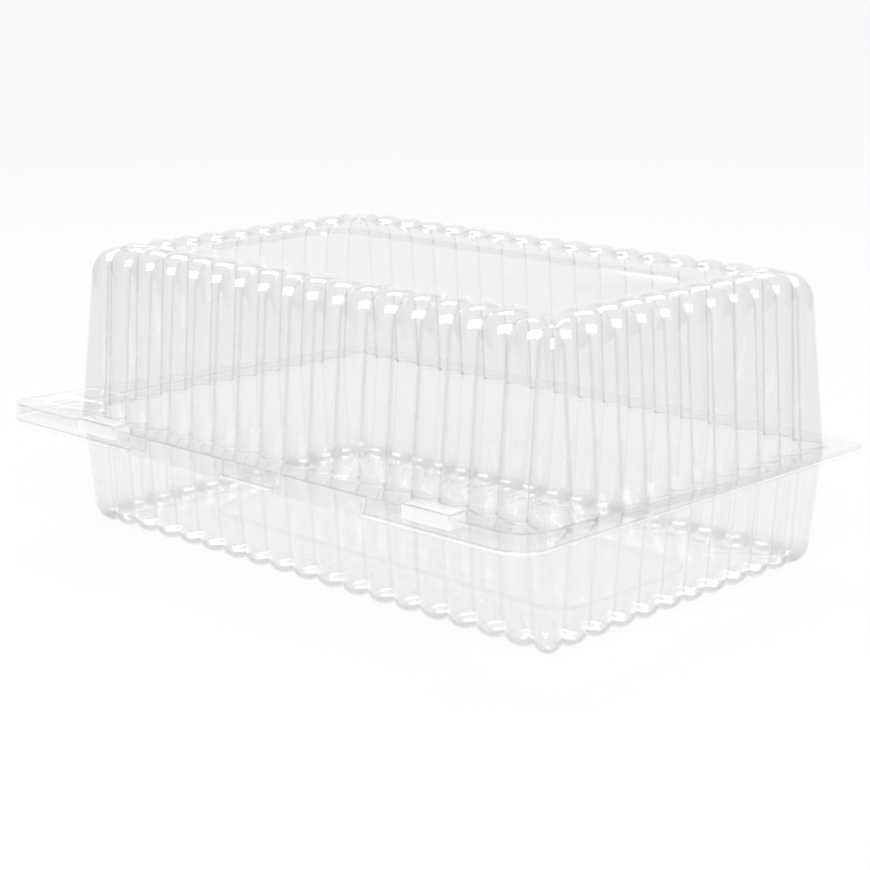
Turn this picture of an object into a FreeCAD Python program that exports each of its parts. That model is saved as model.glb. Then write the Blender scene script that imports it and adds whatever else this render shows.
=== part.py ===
"""Hinged clear plastic food pack: a fluted tray and a deeper fluted lid on one live hinge.

Millimetres. X runs along the long side, the opening edge faces -Y, the hinge is at +Y and the
pack stands on Z = 0. The origin is under the middle of the rim.
"""
import FreeCAD, Part
import math
import os
from FreeCAD import Placement, Rotation, Vector

doc = FreeCAD.newDocument("clamshell_pack")

# Driving dimensions
sheet = doc.addObject("Spreadsheet::Sheet", "Sizes")
DIMENSIONS = [
    ("pack_length", 240.0, "rim outline along X"),
    ("pack_width", 175.0, "rim outline along Y"),
    ("rim_corner", 11.0, "radius of the rim's corners"),
    ("gauge", 0.4, "thickness of the formed sheet"),
    ("seat_gap", 0.3, "air between the lid's rim and the tray's flange"),
    ("flute_pitch", 11.4, "width of one flute"),
    ("flute_depth", 3.0, "how far a flute stands out of the valleys"),
    ("flute_facets", 5.0, "flat facets round one flute"),
    ("long_count", 17.0, "flutes on a long side"),
    ("short_count", 10.0, "flutes on a short side"),
    ("corner_room", 9.0, "from the last valley of a side to the wall past it, at the flange"),
    ("corner_least", 2.0, "least of that room, high on the shoulders"),
    ("corner_swell", 0.45, "how much a corner lobe's height grows with its width"),
    ("wall_shift", 6.5, "the walls sit this far towards the hinge"),
    ("tray_height", 39.0, "top of the tray's flange"),
    ("tray_slope", 4.2, "draft of the tray's walls, degrees"),
    ("tray_shoulder", 3.0, "radius of the valleys round the tray's bottom edge"),
    ("foot_depth", 2.0, "how far the lobes and the floor panel stand below the floor's border"),
    ("lid_top", 97.8, "highest point of the lid's flutes"),
    ("lid_slope", 4.4, "draft of the lid's walls, degrees"),
    ("lid_shoulder", 6.8, "radius of the valleys round the lid's top edge"),
    ("crown_depth", 2.0, "how far the flutes stand above the lid's top border"),
    ("nose_run", 5.0, "length of the flutes' tapered noses"),
    ("panel_length", 168.0, "panel in the floor and in the lid, along X"),
    ("panel_width", 68.0, "the same along Y"),
    ("panel_corner", 12.0, "radius of the panels' corners"),
    ("panel_sink", 1.3, "depth of the lid's sunk panel"),
    ("panel_lean", 1.2, "run of the panels' sloping edges"),
    ("ledge", 1.2, "flat ledge at the foot of the lid's flutes"),
    ("fold_side", 1.7, "from the pack's end in to the rim's fold"),
    ("fold_front", 2.2, "from the pack's front and back in to the rim's fold"),
    ("fold_rise", 5.4, "height of the fold above the lid's ledge at the front"),
    ("hinge_rise", 0.3, "the same at the hinge"),
    ("skirt_lean", 0.7, "how far the skirt below the fold leans out"),
    ("edge_drop", 1.2, "turned-down edge left above the gaps in the skirt"),
    ("left_tab_end", -50.0, "lower end of the left tab of the skirt"),
    ("left_tab_run", 16.0, "length of its slanted end"),
    ("middle_tab_start", -4.5, "left end of the thumb tab"),
    ("middle_tab_end", 18.0, "lower right end of the thumb tab"),
    ("middle_tab_run", 8.0, "length of its slanted end"),
    ("right_tab_start", 57.3, "left end of the right tab"),
    ("snap_shift", 8.2, "the snaps sit this far along X from the middle"),
    ("snap_spacing", 149.4, "from the middle of one snap to the other"),
    ("snap_length", 19.0, "length of a snap along X"),
    ("snap_depth", 7.3, "depth of a snap along Y"),
    ("snap_front", 0.4, "from the pack's front in to the snap's face"),
    ("snap_low", 2.6, "from the lid's seat up to a snap's lower edge"),
    ("snap_top", 7.2, "from the lid's seat up to a snap's top"),
    ("snap_gap", 0.4, "air between a post and its snap"),
]
for row, (alias, value, meaning) in enumerate(DIMENSIONS, start=1):
    sheet.set("A%d" % row, alias)
    sheet.set("B%d" % row, str(value))
    sheet.setAlias("B%d" % row, alias)
    sheet.set("C%d" % row, meaning)
doc.recompute()


def size(alias):
    """The value of one driving dimension."""
    return float(sheet.get(alias))


gauge = size("gauge")
pitch = size("flute_pitch")
depth = size("flute_depth")
FACETS = int(size("flute_facets"))
LONG = int(size("long_count"))
SHORT = int(size("short_count"))
flange_top = size("tray_height")
seat = flange_top + size("seat_gap")
half_length = LONG * pitch / 2 + size("corner_room")
half_width = SHORT * pitch / 2 + size("corner_room")
UP = Vector(0, 0, 1)


# Loops of points that the formed sheets run through
def flute(start, end, normal_start, normal_end, bulge, inner):
    """Points over one flute from valley to valley, without the last one."""
    width = (end - start).Length
    along = (end - start).normalize()
    normal = (normal_start + normal_end).normalize()
    if bulge < 1e-6:
        return [start + along * (width * i / FACETS) - normal * (gauge if inner else 0.0)
                for i in range(FACETS)]
    radius = (width * width / 4 + bulge * bulge) / (2 * bulge)
    own = radius - gauge if inner else radius
    half = math.asin(min(width / 2 / own, 1.0))
    points = []
    for i in range(FACETS):
        turn = -half + 2 * half * i / FACETS
        lift = own * math.cos(turn) - (radius - bulge)
        points.append((start + end) * 0.5 + along * (own * math.sin(turn))
                      + (normal_start if i == 0 else normal) * lift)
    return points


def corner_lobe(start, end, normal_start, normal_end, swell, bulge, inner):
    """Points over the lobe that rounds a corner, a half ellipse, without the last one."""
    skin = gauge if inner else 0.0
    width = (end - start).Length
    along = (end - start).normalize()
    normal = (normal_start + normal_end).normalize()
    points = [flute(start, start + along * pitch, normal_start, normal_start, bulge, inner)[0]
              if bulge > 1e-6 else start - normal_start * skin]
    for i in range(1, FACETS):
        turn = math.radians(180 * i / FACETS - 90)
        points.append((start + end) * 0.5 + along * ((width / 2 - skin) * math.sin(turn))
                      + normal * ((swell - skin) * math.cos(turn)))
    return points


def tip_loop(inward, height, side, inner):
    """The turn through the tips of the noses: one point for each valley."""
    return fluted_loop(inward, height, 90, 0.0, side, inner)[::FACETS]


def fluted_loop(inward, height, lean, bulge, side, inner):
    """One closed turn of flutes, inward from the wall's line at the flange, at a height.

    lean turns the flutes from standing out of the wall (0) to standing out of the end face (90),
    side is 1 for the lid and -1 for the tray, and inner gives the sheet's inside face.
    """
    half_x = half_length - inward
    half_y = half_width - inward
    flat = math.cos(math.radians(lean))
    rise = math.sin(math.radians(lean)) * side
    middle = Vector(0, size("wall_shift"), height)
    sides = []
    for outward, along, reach, run, count in (
            (Vector(0, -1, 0), Vector(1, 0, 0), half_y, half_x, LONG),
            (Vector(1, 0, 0), Vector(0, 1, 0), half_x, half_y, SHORT),
            (Vector(0, 1, 0), Vector(-1, 0, 0), half_y, half_x, LONG),
            (Vector(-1, 0, 0), Vector(0, -1, 0), half_x, half_y, SHORT)):
        last = min(count * pitch / 2, run - size("corner_least"))
        places = [(i - count / 2) * pitch for i in range(count + 1)]
        places[0], places[-1] = -last, last
        normal = outward * flat + UP * rise
        sides.append((normal, [middle + along * t + outward * reach for t in places]))
    points = []
    for turn, (normal, valleys) in enumerate(sides):
        next_normal, next_valleys = sides[(turn + 1) % 4]
        for a, b in zip(valleys, valleys[1:]):
            points += flute(a, b, normal, normal, bulge * (b - a).Length / pitch, inner)
        a, b = valleys[-1], next_valleys[0]
        full = depth + (b - a).Length * size("corner_swell")
        swell = full + (min(bulge, (b - a).Length / 2) - full) * abs(rise)
        points += corner_lobe(a, b, normal, next_normal, swell, bulge, inner)
    return points


def rounded_loop(half_x, low_y, high_y, radius, height, slope=0.0, level=0.0):
    """A rectangle with round corners; slope tilts it about the line y = level."""
    points = []
    for x, y, start in ((half_x, low_y, -90), (half_x, high_y, 0), (-half_x, high_y, 90), (-half_x, low_y, 180)):
        cx = x - math.copysign(radius, x)
        cy = y + radius if y == low_y else y - radius
        for i in range(7):
            turn = math.radians(start + 15 * i)
            px, py = cx + radius * math.cos(turn), cy + radius * math.sin(turn)
            points.append(Vector(px, py, height + slope * (level - py)))
    return points


# Faces and solids from those loops
def quad(a, b, c, d):
    """One flat face over four points, or two where they don't lie in a plane."""
    normal = (b - a).cross(c - a)
    if normal.Length > 1e-9 and abs((d - a).dot(normal.normalize())) < 1e-7:
        return [Part.Face(Part.makePolygon([a, b, c, d, a]))]
    return [Part.Face(Part.makePolygon([a, b, c, a])), Part.Face(Part.makePolygon([a, c, d, a]))]


def band(lower, upper):
    """Faces between two loops with the same number of points."""
    faces = []
    for i in range(len(lower)):
        j = (i + 1) % len(lower)
        faces += quad(lower[i], lower[j], upper[j], upper[i])
    return faces


def noses(crest, tips):
    """Faces from the flutes' crests, FACETS points each, down to the line of their tips."""
    faces = []
    count = len(crest)
    for k, tip in enumerate(tips):
        following = tips[(k + 1) % len(tips)]
        arc = [crest[(k * FACETS + i) % count] for i in range(FACETS + 1)]
        split = FACETS // 2
        for i in range(FACETS):
            near = tip if i <= split else following
            faces.append(Part.Face(Part.makePolygon([arc[i], arc[i + 1], near, arc[i]])))
            if i == split:
                faces.append(Part.Face(Part.makePolygon([arc[i + 1], following, tip, arc[i + 1]])))
    return faces


def flat_face(outline, hole=None):
    """A flat face inside one loop, with another loop cut out of it."""
    wires = [Part.makePolygon(loop + [loop[0]]) for loop in (outline, hole) if loop]
    return Part.Face(wires, "Part::FaceMakerBullseye")


def closed_solid(faces):
    """One solid from faces that meet edge to edge."""
    shell = Part.makeCompound(faces)
    shell.sewShape()
    solid = Part.makeSolid(shell.Shells[0])
    if solid.Volume < 0:
        solid.reverse()
    return solid


def formed_bowl(leave, slope, shoulder, end_depth, border_z, side, sink, rims):
    """A bowl of formed sheet: rim, fluted walls, round shoulder, noses, border and panel.

    leave holds the heights where the walls' outer and inner faces leave the rim, rims the loops
    of the rim's two faces from the walls outwards, and side is 1 for a bowl that opens downwards.
    """
    faces = []
    rate = math.tan(math.radians(slope))
    bend_z = border_z - side * shoulder
    bend = abs(bend_z - flange_top) * rate
    shift = size("wall_shift")
    for inner in (False, True):
        start = leave[inner]
        turns = [fluted_loop(abs(start - flange_top) * rate, start, 0, depth, side, inner)]
        for lean, bulge in ((0, depth), (45, (depth + end_depth) / 2), (90, end_depth)):
            angle = math.radians(lean)
            turns.append(fluted_loop(bend + shoulder * (1 - math.cos(angle)),
                                     bend_z + side * shoulder * math.sin(angle), lean, bulge, side, inner))
        for lower, upper in zip(turns, turns[1:]):
            faces += band(lower, upper)
        tips = tip_loop(bend + shoulder + size("nose_run"), border_z, side, inner)
        faces += noses(turns[-1], tips)
        skin = gauge if inner else 0.0
        grow = skin if sink > 0 else -skin
        top = border_z - side * skin
        loops = []
        for lean, drop in ((0.0, 0.0), (size("panel_lean"), sink)):
            half_x = size("panel_length") / 2 - lean + grow
            half_y = size("panel_width") / 2 - lean + grow
            loops.append(rounded_loop(half_x, shift - half_y, shift + half_y,
                                      size("panel_corner") - lean + grow, top - side * drop))
        faces.append(flat_face(tips, loops[0]))
        faces += band(*loops)
        faces.append(flat_face(loops[1]))
        faces.append(flat_face(rims[inner][0], turns[0]))
        for lower, upper in zip(rims[inner], rims[inner][1:]):
            faces += band(lower, upper)
    faces += band(rims[0][-1], rims[1][-1])
    return closed_solid(faces)


# Outlines of the rim
half_x, half_y = size("pack_length") / 2, size("pack_width") / 2
rim_corner = size("rim_corner")
tilt = (size("fold_rise") - size("hinge_rise")) / size("pack_width")


def lid_rim(inner):
    """The rim of the lid from the ledge outwards: band up to the fold, skirt down, lip out."""
    skin = gauge if inner else 0.0
    z = seat + gauge - skin
    foot_x = half_length + depth + size("ledge")
    foot_y = half_width + depth + size("ledge")
    shift = size("wall_shift")
    fold_x, fold_y = half_x - size("fold_side") - skin, half_y - size("fold_front") - skin
    lean = size("skirt_lean")
    return [
        rounded_loop(foot_x, shift - foot_y, shift + foot_y, 4.0, z),
        rounded_loop(fold_x, -fold_y, fold_y, rim_corner - 2.0, z + size("hinge_rise"), tilt, half_y),
        rounded_loop(fold_x + lean, -fold_y - lean, fold_y + lean, rim_corner - 1.0, z),
        rounded_loop(half_x - 0.4, -half_y, half_y, rim_corner, z),
    ]


def tray_rim(inner):
    """The tray's flat flange."""
    return [rounded_loop(half_x, -half_y, half_y, rim_corner, flange_top if inner else flange_top - gauge)]


# Tray, as formed
tray_sheet = doc.addObject("Part::Feature", "TraySheet")
tray_sheet.Shape = formed_bowl((flange_top - gauge, flange_top), size("tray_slope"), size("tray_shoulder"),
                               size("foot_depth"), size("foot_depth"), -1, -size("foot_depth"),
                               (tray_rim(False), tray_rim(True)))

# Lid, as formed
lid_sheet = doc.addObject("Part::Feature", "LidSheet")
lid_sheet.Shape = formed_bowl((seat + gauge, seat), size("lid_slope"), size("lid_shoulder"),
                              size("crown_depth"), size("lid_top") - size("crown_depth"), 1,
                              size("panel_sink"), (lid_rim(False), lid_rim(True)))


def bound_box(name, sizes, place):
    """A box whose length, width, height and corner follow the sheet."""
    box = doc.addObject("Part::Box", name)
    for prop, expression in zip(("Length", "Width", "Height"), sizes):
        box.setExpression(prop, expression)
    for axis, expression in zip("xyz", place):
        box.setExpression("Placement.Base." + axis, expression)
    return box


def bound_wedge(name, low_left, low_right, high_left, high_right):
    """A gap in the skirt: a slab in front of the fold that narrows upwards."""
    wedge = doc.addObject("Part::Wedge", name)
    wedge.Placement = Placement(Vector(0, 0, 0), Rotation(Vector(1, 0, 0), 90))
    for prop, expression in (
            ("Xmin", low_left), ("Xmax", low_right), ("X2min", high_left), ("X2max", high_right),
            ("Ymin", "0 mm"), ("Ymax", "(Sizes.fold_rise + Sizes.gauge + 1 - Sizes.edge_drop) * 1 mm"),
            ("Zmin", "0 mm"), ("Zmax", "6 mm"), ("Z2min", "0 mm"), ("Z2max", "6 mm")):
        wedge.setExpression(prop, expression)
    wedge.setExpression("Placement.Base.y",
                        "(Sizes.fold_front + Sizes.gauge - Sizes.pack_width / 2) * 1 mm")
    wedge.setExpression("Placement.Base.z", "(Sizes.tray_height + Sizes.seat_gap - 1) * 1 mm")
    return wedge


def joined(kind, name, base, tool):
    """A boolean of two objects."""
    result = doc.addObject("Part::" + kind, name)
    result.Base = base
    result.Tool = tool
    return result


# Gaps between the three tabs of the skirt
gap_left = bound_wedge("SkirtGapLeft", "Sizes.left_tab_end * 1 mm", "Sizes.middle_tab_start * 1 mm",
                       "(Sizes.left_tab_end + Sizes.left_tab_run) * 1 mm", "Sizes.middle_tab_start * 1 mm")
gap_right = bound_wedge("SkirtGapRight", "Sizes.middle_tab_end * 1 mm", "Sizes.right_tab_start * 1 mm",
                        "(Sizes.middle_tab_end + Sizes.middle_tab_run) * 1 mm",
                        "Sizes.right_tab_start * 1 mm")
lid_shape = joined("Cut", "LidGapLeft", lid_sheet, gap_left)
lid_shape = joined("Cut", "LidGaps", lid_shape, gap_right)

# Snaps: a hollow block on each corner tab of the lid over a hollow post on the tray's flange
tray_shape = tray_sheet
for label, sign in (("Left", "-1"), ("Right", "1")):
    start = "(Sizes.snap_shift + %s * Sizes.snap_spacing / 2 - Sizes.snap_length / 2 + (%s)) * 1 mm"
    front = "(Sizes.snap_front - Sizes.pack_width / 2 + (%s)) * 1 mm"
    low = "(Sizes.tray_height + Sizes.seat_gap + (%s)) * 1 mm"
    block = bound_box("SnapBlock" + label,
                      ("Sizes.snap_length * 1 mm", "Sizes.snap_depth * 1 mm",
                       "(Sizes.snap_top - Sizes.snap_low) * 1 mm"),
                      (start % (sign, "0"), front % "0", low % "Sizes.snap_low"))
    face = bound_box("SnapFace" + label,
                     ("(Sizes.snap_length - 2 * Sizes.gauge) * 1 mm", "2 mm",
                      "(Sizes.snap_top - Sizes.snap_low - 2 * Sizes.gauge) * 1 mm"),
                     (start % (sign, "Sizes.gauge"), front % "Sizes.gauge",
                      low % "Sizes.snap_low + Sizes.gauge"))
    room = bound_box("SnapRoom" + label,
                     ("(Sizes.snap_length - 2 * Sizes.gauge) * 1 mm",
                      "(Sizes.snap_depth + Sizes.snap_front - Sizes.fold_front - 2 * Sizes.gauge) * 1 mm",
                      "(Sizes.snap_top - Sizes.gauge + 1) * 1 mm"),
                     (start % (sign, "Sizes.gauge"),
                      front % "Sizes.fold_front - Sizes.snap_front + Sizes.gauge", low % "-1"))
    lid_shape = joined("Fuse", "LidSnap" + label, lid_shape, block)
    lid_shape = joined("Cut", "LidSnapFace" + label, lid_shape, face)
    lid_shape = joined("Cut", "LidSnapRoom" + label, lid_shape, room)
    post = bound_box("SnapPost" + label,
                     ("(Sizes.snap_length - 2 * Sizes.gauge - 2 * Sizes.snap_gap) * 1 mm",
                      "(Sizes.snap_depth + Sizes.snap_front - Sizes.fold_front - 2 * Sizes.gauge"
                      " - 2 * Sizes.snap_gap) * 1 mm",
                      "(Sizes.snap_top - Sizes.gauge - Sizes.snap_gap + Sizes.seat_gap) * 1 mm"),
                     (start % (sign, "Sizes.gauge + Sizes.snap_gap"),
                      front % "Sizes.fold_front - Sizes.snap_front + Sizes.gauge + Sizes.snap_gap",
                      low % "-Sizes.seat_gap"))
    hollow = bound_box("SnapHollow" + label,
                       ("(Sizes.snap_length - 4 * Sizes.gauge - 2 * Sizes.snap_gap) * 1 mm",
                        "(Sizes.snap_depth + Sizes.snap_front - Sizes.fold_front - 4 * Sizes.gauge"
                        " - 2 * Sizes.snap_gap) * 1 mm",
                        "(Sizes.snap_top - Sizes.gauge - Sizes.snap_gap + 1) * 1 mm"),
                       (start % (sign, "2 * Sizes.gauge + Sizes.snap_gap"),
                        front % "Sizes.fold_front - Sizes.snap_front + 2 * Sizes.gauge + Sizes.snap_gap",
                        low % "-Sizes.seat_gap - Sizes.gauge - 1 + Sizes.seat_gap"))
    tray_shape = joined("Fuse", "TrayPost" + label, tray_shape, post)
    tray_shape = joined("Cut", "TrayPostHollow" + label, tray_shape, hollow)

tray_shape.Label = "tray"
lid_shape.Label = "lid"
doc.recompute()

# Checks, then one file for each piece
for item in doc.Objects:
    if "Invalid" in item.State or "Error" in item.State:
        raise RuntimeError("%s failed: %s" % (item.Name, item.State))
for node in (tray_shape, lid_shape):
    shape = node.Shape
    if shape.isNull() or not shape.isValid() or len(shape.Solids) != 1:
        raise RuntimeError("%s: %d solids, valid %s" % (node.Label, len(shape.Solids), shape.isValid()))
    box = shape.BoundBox
    print("%s: %.1f x %.1f x %.1f mm, z %.2f to %.2f, %.0f mm3, %d faces" % (
        node.Label, box.XLength, box.YLength, box.ZLength, box.ZMin, box.ZMax, shape.Volume, len(shape.Faces)))
os.makedirs("parts", exist_ok=True)
for node in (tray_shape, lid_shape):
    node.Shape.exportStep("parts/%s.step" % node.Label)
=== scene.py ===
"""A clear, thermoformed food pack: a fluted tray, a deeper fluted lid and the live hinge between them."""
import math

import bpy
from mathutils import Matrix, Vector


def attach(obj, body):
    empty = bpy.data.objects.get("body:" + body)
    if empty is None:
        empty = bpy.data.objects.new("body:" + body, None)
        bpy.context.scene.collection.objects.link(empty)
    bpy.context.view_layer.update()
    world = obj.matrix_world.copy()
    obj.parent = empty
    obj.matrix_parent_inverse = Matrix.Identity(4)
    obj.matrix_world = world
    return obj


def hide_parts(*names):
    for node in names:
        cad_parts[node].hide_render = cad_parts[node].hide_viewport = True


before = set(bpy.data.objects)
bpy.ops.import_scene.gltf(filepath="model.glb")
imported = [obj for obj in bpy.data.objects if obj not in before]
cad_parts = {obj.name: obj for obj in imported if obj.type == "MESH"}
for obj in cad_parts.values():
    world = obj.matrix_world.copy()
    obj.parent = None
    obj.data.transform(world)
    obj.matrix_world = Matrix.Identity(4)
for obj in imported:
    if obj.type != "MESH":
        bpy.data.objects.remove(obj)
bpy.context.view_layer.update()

# Clear plastic. The whole pack is one thin sheet of crystal-clear polyester, heated and drawn
# over a mould. It is see-through face on, and darker and shinier where it turns edge on.


class Wire:
    """One output of a shader node, with arithmetic that adds Math nodes."""

    def __init__(self, material, socket):
        self.material, self.socket = material, socket

    def maths(self, operation, other, swap=False):
        first, second = (other, self) if swap else (self, other)
        return add_node(self.material, "ShaderNodeMath", (("operation", operation),), **{"0": first, "1": second})

    def __add__(self, other):
        return self.maths("ADD", other)

    __radd__ = __add__

    def __mul__(self, other):
        return self.maths("MULTIPLY", other)

    __rmul__ = __mul__

    def __sub__(self, other):
        return self.maths("SUBTRACT", other)

    def __rsub__(self, other):
        return self.maths("SUBTRACT", other, swap=True)

    def __pow__(self, other):
        return self.maths("POWER", other)


def add_node(material, kind, settings=(), **values):
    """A node with its settings made first, then its sockets; gives back its first output."""
    node = material.node_tree.nodes.new(kind)
    for name, value in settings:
        setattr(node, name, value)
    for name, value in values.items():
        socket = node.inputs[int(name)] if name.isdigit() else node.inputs[name.replace("_", " ")]
        if isinstance(value, Wire):
            material.node_tree.links.new(value.socket, socket)
        else:
            socket.default_value = value
    return Wire(material, node.outputs[0])


def new_material(name):
    """An empty node material and its output node."""
    material = bpy.data.materials.new(name)
    material.use_nodes = True
    material.node_tree.nodes.clear()
    return material, material.node_tree.nodes.new("ShaderNodeOutputMaterial")


EDGE_AND_SHADE_GREY = (0.34, 0.345, 0.35, 1.0)
EDGE_SHARPNESS, CREASE_SHADE_SHARPNESS, GLOSS_SHARPNESS = 26.0, 3.0, 5.0
GLOSS_FACE_ON, GLOSS_EDGE_ON = 0.045, 0.9


def clear_plastic(name, see_through, edge, crease_shade, painted_glow=0.0):
    """Clear face on and grey edge on, with a hard gloss; painted shade darkens it along creased lines, and a
    glowing white share, a painted highlight, can be mixed in.
    """
    material, output = new_material(name)
    turned = add_node(material, "ShaderNodeLayerWeight", Blend=0.5)
    turned.socket = turned.socket.node.outputs["Facing"]
    painted_shade_amount = add_node(material, "ShaderNodeAttribute", (("attribute_name", "crease_shade"),))
    painted_shade_amount.socket = painted_shade_amount.socket.node.outputs["Fac"]
    # Grey where the sheet turns edge on, plus painted shade read from a point attribute along creased lines,
    # valleys and cut edges.
    grey_and_shade_share = turned ** EDGE_SHARPNESS * edge + painted_shade_amount ** CREASE_SHADE_SHARPNESS * crease_shade
    clear = add_node(material, "ShaderNodeBsdfTransparent", Color=see_through)
    if painted_glow:
        # A white share with a slight glow: a painted highlight, though no lamp is there.
        white = add_node(material, "ShaderNodeBsdfPrincipled", Base_Color=(0.95, 0.95, 0.95, 1.0), Roughness=0.3,
                         IOR=1.5, Emission_Color=(1.0, 1.0, 1.0, 1.0), Emission_Strength=0.2)
        clear = add_node(material, "ShaderNodeMixShader", **{"0": painted_glow, "1": clear, "2": white})
    grey = add_node(material, "ShaderNodeBsdfPrincipled", Base_Color=EDGE_AND_SHADE_GREY, Roughness=0.25, IOR=1.5)
    body = add_node(material, "ShaderNodeMixShader", **{"0": grey_and_shade_share, "1": clear, "2": grey})
    shine = add_node(material, "ShaderNodeBsdfAnisotropic", Color=(1.0, 1.0, 1.0, 1.0), Roughness=0.03)
    bounce = turned ** GLOSS_SHARPNESS * GLOSS_EDGE_ON + GLOSS_FACE_ON
    whole = add_node(material, "ShaderNodeMixShader", **{"0": bounce, "1": body, "2": shine})
    material.node_tree.links.new(whole.socket, output.inputs["Surface"])
    return material


lid_plastic = clear_plastic("clear_lid_sheet", (0.955, 0.956, 0.957, 1.0), 0.5, 0.26)
tray_plastic = clear_plastic("clear_tray_sheet", (0.975, 0.976, 0.977, 1.0), 0.4, 0.26)
rim_plastic = clear_plastic("clear_rim_sheet", (0.988, 0.989, 0.990, 1.0), 0.4, 0.42)
# The lip and the snaps mix in that glowing white share, a painted highlight, and carry stronger painted shade on
# their creased lines.
lip_plastic = clear_plastic("lip_edge_painted_glow", (0.990, 0.991, 0.992, 1.0), 0.2, 0.45, 0.26)
snap_plastic = clear_plastic("snap_painted_glow", (0.990, 0.991, 0.992, 1.0), 0.3, 0.55, 0.35)

# Fluted walls. Both halves have 17 half-round flutes on each long side and 10 on each short one,
# with a narrow flute across every corner. The sheet runs over them in one piece.
GAUGE = 0.4
PITCH, LONG, SHORT = 11.4, 17, 10
DEPTH = 3.0
CORNER_ROOM, CORNER_SWELL = 9.0, 0.45
HALF_X, HALF_Y = LONG * PITCH / 2 + CORNER_ROOM, SHORT * PITCH / 2 + CORNER_ROOM
WALL_SHIFT = 6.5
STEPS = 14
NOSE_RUN = 6.5
WALL_TURNS, BEND_TURNS, NOSE_TURNS = 6, 9, 8
FOOT_TURN, LIP_TURNS = 1, 2
# How dark the painted shade is along the edges where the skirt is cut back.
TRIM_EDGE_SHADE = 0.6
PANEL_LENGTH, PANEL_WIDTH, PANEL_CORNER = 168.0, 68.0, 12.0
FLANGE = 39.0
SEAT = 39.3
LID_CROWN = 97.7


def over_flute(start, end, normal, bulge, breadth):
    """Points over one flute from valley to valley, without the last.

    breadth is the share of the pitch that the flute takes up.
    """
    points = []
    for i in range(STEPS):
        turn = 2 * i / STEPS - 1
        rise = bulge * max(1 - abs(turn / breadth) ** 2.1, 0.0)
        points.append(start.lerp(end, i / STEPS) + normal * rise)
    return points


def over_corner(start, end, normal_start, normal_end, swell):
    """Points over the lobe that rounds a corner, a half ellipse, without the last."""
    width = (end - start).length
    along = (end - start).normalized()
    normal = (normal_start + normal_end).normalized()
    points = [start]
    for i in range(1, STEPS):
        turn = math.radians(180 * i / STEPS - 90)
        points.append((start + end) / 2 + along * (width / 2 * math.sin(turn)) + normal * (swell * math.cos(turn)))
    return points


def flute_turn(inward, height, lean, bulge, side, breadth=1.0):
    """One closed turn round the pack; lean turns the flutes from the wall to the end face."""
    half_x, half_y = HALF_X - inward, HALF_Y - inward
    flat, rise = math.cos(math.radians(lean)), math.sin(math.radians(lean)) * side
    middle = Vector((0, WALL_SHIFT, height))
    sides = []
    for outward, along, reach, run, count in (
            (Vector((0, -1, 0)), Vector((1, 0, 0)), half_y, half_x, LONG),
            (Vector((1, 0, 0)), Vector((0, 1, 0)), half_x, half_y, SHORT),
            (Vector((0, 1, 0)), Vector((-1, 0, 0)), half_y, half_x, LONG),
            (Vector((-1, 0, 0)), Vector((0, -1, 0)), half_x, half_y, SHORT)):
        last = min(count * PITCH / 2, run - 2.0)
        places = [(i - count / 2) * PITCH for i in range(count + 1)]
        places[0], places[-1] = -last, last
        sides.append((outward * flat + Vector((0, 0, rise)),
                      [middle + along * t + outward * reach for t in places]))
    points = []
    for turn, (normal, valleys) in enumerate(sides):
        next_normal, next_valleys = sides[(turn + 1) % 4]
        for a, b in zip(valleys, valleys[1:]):
            points += over_flute(a, b, normal, bulge * (b - a).length / PITCH, breadth)
        a, b = valleys[-1], next_valleys[0]
        full = DEPTH + (b - a).length * CORNER_SWELL
        swell = full + (min(bulge, (b - a).length / 2) - full) * abs(rise)
        points += over_corner(a, b, normal, next_normal, swell)
    for point in points:
        point.z = min(max(point.z, 0.0), LID_CROWN)
    return points


def on_corner(centre, radius, degrees):
    """The point of a round corner at a compass angle."""
    return centre + Vector((math.cos(math.radians(degrees)), math.sin(math.radians(degrees)), 0)) * radius


def rounded_turn(half_x, low_y, high_y, radius, height, slope=0.0, level=0.0):
    """A closed turn round a rectangle with round corners, with as many points as a fluted turn.

    It lies at height where y is level, and climbs by slope for each mm towards the front.
    """
    points = []
    in_x, in_low, in_high = half_x - radius, low_y + radius, high_y - radius
    corners = [((in_x, in_low), -90), ((in_x, in_high), 0), ((-in_x, in_high), 90), ((-in_x, in_low), 180)]
    for i, (count, (place, start)) in enumerate(zip((LONG, SHORT, LONG, SHORT), corners)):
        last_place, last_start = corners[i - 1]
        centre = Vector((*place, 0))
        a = on_corner(Vector((*last_place, 0)), radius, last_start + 90)
        b = on_corner(centre, radius, start)
        for j in range(count * STEPS):
            points.append(a.lerp(b, j / (count * STEPS)))
        for j in range(STEPS):
            points.append(on_corner(centre, radius, start + 90 * j / STEPS))
    for point in points:
        point.z = height + slope * (level - point.y)
    return points


def formed_turns(slope, shoulder, end_depth, border_z, side, start_z):
    """The turns of a fluted wall from the rim over the shoulder to the noses' tips."""
    rate = math.tan(math.radians(slope))
    bend_z = border_z - side * shoulder
    bend = abs(bend_z - FLANGE) * rate
    turns = [flute_turn(-0.5, start_z, 0, DEPTH, side)]
    for share in (0.0, 0.015, 0.25, 0.5, 0.75):
        z = start_z + (bend_z - start_z) * share
        turns.append(flute_turn(abs(z - FLANGE) * rate, z, 0, DEPTH, side))
    for i in range(BEND_TURNS):
        share = i / (BEND_TURNS - 1)
        angle = math.radians(90 * share)
        turns.append(flute_turn(bend + shoulder * (1 - math.cos(angle)), bend_z + side * shoulder * math.sin(angle),
                                90 * share, DEPTH + (end_depth - DEPTH) * share, side))
    for i in range(1, NOSE_TURNS + 1):
        run = math.sin(math.radians(90 * i / NOSE_TURNS))
        shrink = math.sqrt(max(1 - run * run, 0.0))
        turns.append(flute_turn(bend + shoulder + NOSE_RUN * run, border_z, 90, end_depth * shrink ** 0.8, side,
                                max(shrink ** 0.7, 0.05)))
    return turns


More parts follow.
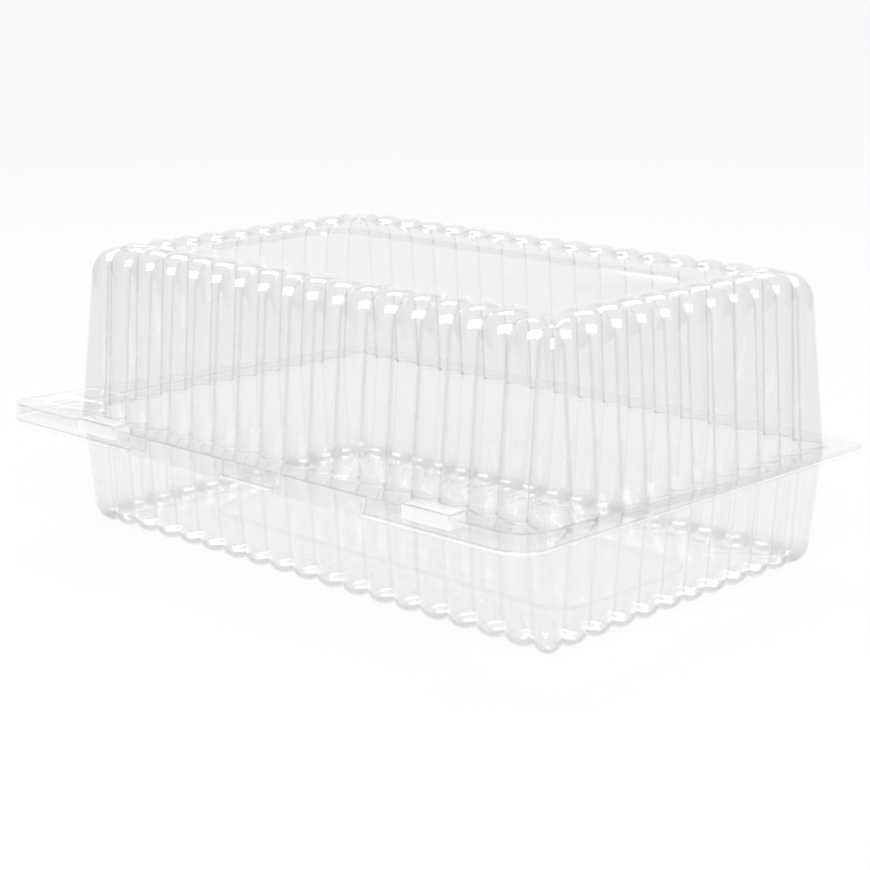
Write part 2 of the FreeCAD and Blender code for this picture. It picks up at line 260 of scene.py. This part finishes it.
def panel_turns(border_z, sink, side):
    """The turns of the panel's sloping edge, each with how far in it lies and its share of the sink."""
    turns = []
    for lean, drop in ((-0.6, 0.0), (0.0, 0.06), (0.25, 0.3), (0.95, 0.75), (1.2, 0.97), (1.9, 1.0)):
        half_x, half_y = PANEL_LENGTH / 2 - lean, PANEL_WIDTH / 2 - lean
        turns.append(rounded_turn(half_x, WALL_SHIFT - half_y, WALL_SHIFT + half_y, PANEL_CORNER - lean,
                                  border_z - side * drop * sink))
    return turns


def sheet_from(name, rim, walls, fold_shades, materials, valley_shade, gap=None):
    """One mesh from turns of equal length, closed by a flat face inside the last.

    The fold table gives the turns that get painted shade all round, as along a fold line, and how dark it is, and
    the number after the materials how dark the painted shade in the walls' valleys is. The rim takes the second
    material and the lip outside it the third. gap says for a level and a point in mm whether the sheet is trimmed
    away there; the cut edges get painted shade.
    """
    turns = rim + walls
    count = len(turns[0])
    points = [point * 0.001 for turn in turns for point in turn]
    # Painted shade for each point: in the valleys, along fold lines and at cut edges.
    crease_shades = [0.0] * len(points)
    for level in range(len(rim), len(rim) + WALL_TURNS + BEND_TURNS + NOSE_TURNS):
        for i in range(level * count, (level + 1) * count, STEPS):
            crease_shades[i] = valley_shade
    for level, shade_strength in fold_shades.items():
        for i in range(level * count, (level + 1) * count):
            crease_shades[i] = max(crease_shades[i], shade_strength)
    faces, owners = [], []
    for level in range(len(turns) - 1):
        for i in range(count):
            j = (i + 1) % count
            a, b = level * count, (level + 1) * count
            corners = (a + i, a + j, b + j, b + i)
            if gap and gap(level, (turns[level][i] + turns[level][j]) / 2):
                for corner in corners:
                    crease_shades[corner] = max(crease_shades[corner], TRIM_EDGE_SHADE)
                continue
            faces.append(corners)
            owners.append(2 if level < LIP_TURNS else 1 if level < len(rim) else 0)
    faces.append(tuple((len(turns) - 1) * count + i for i in range(count)))
    owners.append(0)
    used = sorted({corner for face in faces for corner in face})
    order = {old: new for new, old in enumerate(used)}
    mesh = bpy.data.meshes.new(name)
    mesh.from_pydata([points[i] for i in used], [], [[order[corner] for corner in face] for face in faces])
    mesh.update()
    for material in materials:
        mesh.materials.append(material)
    mesh.polygons.foreach_set("material_index", owners)
    mesh.attributes.new("crease_shade", "FLOAT", "POINT").data.foreach_set("value", [crease_shades[i] for i in used])
    piece = bpy.data.objects.new(name, mesh)
    bpy.context.collection.objects.link(piece)
    return piece


def finish_sheet(piece, body, inside):
    """Gives a formed sheet its thickness on the inside, where inside is +1 or -1 along its normals."""
    wall = piece.modifiers.new("gauge", "SOLIDIFY")
    wall.thickness = GAUGE * 0.001
    wall.offset = inside
    bpy.context.view_layer.update()
    solid = bpy.data.meshes.new_from_object(piece.evaluated_get(bpy.context.evaluated_depsgraph_get()))
    piece.modifiers.clear()
    piece.data = solid
    solid.shade_smooth()
    solid.set_sharp_from_angle(angle=math.radians(38))
    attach(piece, body)
    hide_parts(body)


# Tray. The lower half: flutes that end in round lobes it stands on, a floor panel level with
# them, and a flat flange all round, wide at the front for the closures.
FLANGE_X, FLANGE_Y, FLANGE_CORNER = 120.0, 87.5, 11.0
TRAY_BORDER = 2.0
flange_turns = [rounded_turn(FLANGE_X - inset, inset - FLANGE_Y, FLANGE_Y - inset, FLANGE_CORNER - inset, z)
                for inset, z in ((0.3, 38.5), (0.4, 38.58), (0.7, 38.6))]
tray_walls = formed_turns(slope=4.2, shoulder=3.0, end_depth=2.0, border_z=TRAY_BORDER, side=-1, start_z=38.6)
tray_walls += panel_turns(TRAY_BORDER, sink=-2.0, side=-1)
bend = len(flange_turns) + WALL_TURNS
# Painted shade along the bend into the lobes and along the foot of the wall, and in the wall valleys.
tray_fold_shades = {bend + i: shade_strength for i, shade_strength in enumerate((0.45, 0.65, 0.8, 0.85, 0.85, 0.8, 0.65, 0.45))}
tray_fold_shades[len(flange_turns) + FOOT_TURN] = 0.6
tray = sheet_from("tray_sheet", flange_turns, tray_walls, tray_fold_shades, (tray_plastic, rim_plastic, rim_plastic), 0.6)
finish_sheet(tray, "tray", 1.0)

# Lid. The upper half: the same flutes, deeper, with a sunk panel in its top. Its rim climbs from
# the flutes to a fold, turns down as a skirt and ends in a lip, and it meets the tray at the hinge.
LID_BORDER = 95.8
rise_front, rise_back = 5.4, 0.3
tilt = (rise_front - rise_back) / (2 * FLANGE_Y)
lid_foot = SEAT + GAUGE
lid_rim = [
    rounded_turn(119.6, -87.5, 87.5, 11, lid_foot - 0.1),
    rounded_turn(119.4, -87.2, 87.3, 11, lid_foot),
    rounded_turn(119.1, -86.2, 86.2, 10, lid_foot),
    rounded_turn(118.95, -85.95, 85.95, 10, lid_foot + 0.1),
    rounded_turn(118.9, -85.9, 85.9, 10, lid_foot + 0.15, tilt * 0.1, 87.5),
    rounded_turn(118.5, -85.5, 85.5, 9.5, lid_foot + rise_back * 0.7, tilt * 0.9, 87.5),
    rounded_turn(118.2, -85.2, 85.2, 9, lid_foot + rise_back, tilt, 87.5),
    rounded_turn(117.8, -84.8, 84.8, 9, lid_foot + rise_back * 0.95, tilt * 0.99, 87.5),
    rounded_turn(110.1, -63.7, 76.7, 4.0, lid_foot),
]

LEFT_TAB_END, LEFT_TAB_RUN = -50.0, 16.0
THUMB_START, THUMB_END, THUMB_RUN = -4.5, 18.0, 8.0
RIGHT_TAB_START = 57.3
SKIRT_HEIGHTS = (0.0, 0.0, 0.0, 0.05, 0.5)
FRONT_EDGE = -80.0


def in_gap(level, point):
    """The skirt and lip are cut back twice along the front, beside the thumb tab.

    up is how far a level lies from the lip to the fold, because the tabs' ends slant.
    """
    if level >= len(SKIRT_HEIGHTS) or point.y > FRONT_EDGE:
        return False
    up = SKIRT_HEIGHTS[level]
    return (LEFT_TAB_END + LEFT_TAB_RUN * up < point.x < THUMB_START
            or THUMB_END + THUMB_RUN * up < point.x < RIGHT_TAB_START)


SEAT_TURN, FOLD_TURN = 3, 6
lid_walls = formed_turns(slope=4.4, shoulder=6.8, end_depth=2.0, border_z=LID_BORDER, side=1, start_z=lid_foot)
lid_walls += panel_turns(LID_BORDER, sink=1.3, side=1)
nose = len(lid_rim) + WALL_TURNS + BEND_TURNS
# Painted shade along the seat, the fold and the foot of the wall, darker over the noses, and in the wall valleys.
lid_fold_shades = {SEAT_TURN: 0.85, FOLD_TURN: 0.8, len(lid_rim) + FOOT_TURN: 0.75,
             nose + 4: 0.5, nose + 5: 0.7, nose + 6: 0.6}
lid = sheet_from("lid_sheet", lid_rim, lid_walls, lid_fold_shades, (lid_plastic, rim_plastic, lip_plastic), 1.0, in_gap)
finish_sheet(lid, "lid", -1.0)

# Snaps. On each corner tab of the lid a small square block is drawn up out of the sheet, and a
# post drawn up out of the tray's flange fits inside it. They hold the pack shut.
SNAP_SHIFT, SNAP_SPACING, SNAP_LENGTH = 8.2, 149.4, 19.0
SNAP_ROUNDING, SNAP_ROOM = 0.6, 0.8


def formed_block(name, low, high, body, material):
    """A hollow block of sheet with rounded edges and no floor, from its corners in mm; the rounded edges carry
    painted shade.
    """
    x0, y0, z0 = low
    x1, y1, z1 = high
    corners = [(x0, y0, z0), (x1, y0, z0), (x1, y1, z0), (x0, y1, z0),
               (x0, y0, z1), (x1, y0, z1), (x1, y1, z1), (x0, y1, z1)]
    faces = [(4, 5, 6, 7), (0, 1, 5, 4), (1, 2, 6, 5), (2, 3, 7, 6), (3, 0, 4, 7)]
    mesh = bpy.data.meshes.new(name)
    mesh.from_pydata([Vector(corner) * 0.001 for corner in corners], [], faces)
    piece = bpy.data.objects.new(name, mesh)
    bpy.context.collection.objects.link(piece)
    bevel = piece.modifiers.new("edge", "BEVEL")
    bevel.width = SNAP_ROUNDING * 0.001
    bevel.segments = 3
    bpy.context.view_layer.update()
    rounded = bpy.data.meshes.new_from_object(piece.evaluated_get(bpy.context.evaluated_depsgraph_get()))
    piece.modifiers.clear()
    piece.data = rounded
    rounded.shade_smooth()
    rounded.set_sharp_from_angle(angle=math.radians(50))
    rounded.materials.clear()
    rounded.materials.append(material)
    # Painted shade on the rounded edges, none on the flat faces.
    crease_shade = rounded.attributes.new("crease_shade", "FLOAT", "POINT")
    sides = ((x0, x1), (y0, y1), (z0, z1))
    for i, vertex in enumerate(rounded.vertices):
        flush = any(abs(place - side * 0.001) < 1e-5 for place, pair in zip(vertex.co, sides) for side in pair)
        crease_shade.data[i].value = 0.0 if flush else 1.0
    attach(piece, body)


for hand, sign in (("left", -1), ("right", 1)):
    x0 = SNAP_SHIFT + sign * SNAP_SPACING / 2 - SNAP_LENGTH / 2
    x1 = x0 + SNAP_LENGTH
    formed_block("snap_cap_" + hand, (x0, -87.1, 41.9), (x1, -79.8, 46.5), "lid", snap_plastic)
    formed_block("snap_post_" + hand, (x0 + SNAP_ROOM, -84.5, FLANGE), (x1 - SNAP_ROOM, -80.6, 45.7), "tray",
                 rim_plastic)

# Stage: a white table and a white room, lit by two square softboxes, with the camera in front of
# the near corner, a little above the pack.
floor_material, floor_output = new_material("white_table")
floor_shader = add_node(floor_material, "ShaderNodeBsdfPrincipled", Base_Color=(0.9, 0.9, 0.9, 1.0), Roughness=0.9)
seen = add_node(floor_material, "ShaderNodeLightPath")
seen_direct = Wire(floor_material, seen.socket.node.outputs["Is Camera Ray"])
seen_gloss = Wire(floor_material, seen.socket.node.outputs["Is Glossy Ray"])
seen_through = Wire(floor_material, seen.socket.node.outputs["Is Transmission Ray"])
white = add_node(floor_material, "ShaderNodeEmission", Color=(1.0, 1.0, 1.0, 1.0), Strength=1.0)
lit = add_node(floor_material, "ShaderNodeMixShader",
               **{"0": (seen_direct + seen_gloss + seen_through) * 0.9, "1": floor_shader, "2": white})
floor_material.node_tree.links.new(lit.socket, floor_output.inputs["Surface"])
bpy.ops.mesh.primitive_plane_add(size=14.0, location=(0, 0, -0.0002))
table = bpy.context.object
table.name = "table_top"
table.data.materials.append(floor_material)

world = bpy.data.worlds.new("white_room")
bpy.context.scene.world = world
world.use_nodes = True
world.node_tree.nodes.clear()
world_output = world.node_tree.nodes.new("ShaderNodeOutputWorld")
path = add_node(world, "ShaderNodeLightPath").socket.node.outputs
straight = Wire(world, path["Is Camera Ray"]) + Wire(world, path["Is Transmission Ray"])
mirrored = Wire(world, path["Is Glossy Ray"])
bearing = add_node(world, "ShaderNodeTexCoord")
sideways = add_node(world, "ShaderNodeVectorMath", (("operation", "DOT_PRODUCT"),),
                    **{"0": bearing, "1": (0.723, 0.690, 0.0)})
sideways.socket = sideways.socket.node.outputs["Value"]
dark_walls = sideways.maths("MULTIPLY", sideways) ** 1.6
room_level = 0.35 + straight * 0.65 + mirrored * (0.63 - dark_walls * 0.9)
room = add_node(world, "ShaderNodeBackground", Color=(1.0, 1.0, 1.0, 1.0), Strength=room_level)
world.node_tree.links.new(room.socket, world_output.inputs["Surface"])


def softbox(name, azimuth, elevation, distance, width, height, power):
    """A studio lamp aimed at the pack from a compass bearing and a height, in degrees."""
    lamp = bpy.data.lights.new(name, "AREA")
    lamp.shape = "RECTANGLE"
    lamp.size, lamp.size_y = width, height
    lamp.energy = power
    holder = bpy.data.objects.new(name, lamp)
    bpy.context.collection.objects.link(holder)
    a, e = math.radians(azimuth), math.radians(elevation)
    direction = Vector((math.sin(a) * math.cos(e), -math.cos(a) * math.cos(e), math.sin(e)))
    holder.location = Vector((0, 0, 0.06)) + direction * distance
    holder.rotation_euler = direction.to_track_quat("Z", "Y").to_euler()


softbox("softbox_front", 43.7, 42.0, 1.3, 1.2, 0.7, 14.0)
softbox("softbox_behind", 223.7, 60.0, 1.3, 0.7, 0.35, 7.0)

camera_data = bpy.data.cameras.new("camera")
camera_data.lens = 86.85
camera_data.sensor_width = 36.0
camera = bpy.data.objects.new("camera", camera_data)
bpy.context.collection.objects.link(camera)
camera.location = (0.47334, -0.49164, 0.20654)
camera.rotation_euler = (math.radians(90 - 13.88), 0.0, math.radians(43.68))
bpy.context.scene.camera = camera
bpy.context.scene.view_settings.view_transform = "Standard"
bpy.context.scene.cycles.transparent_max_bounces = 48
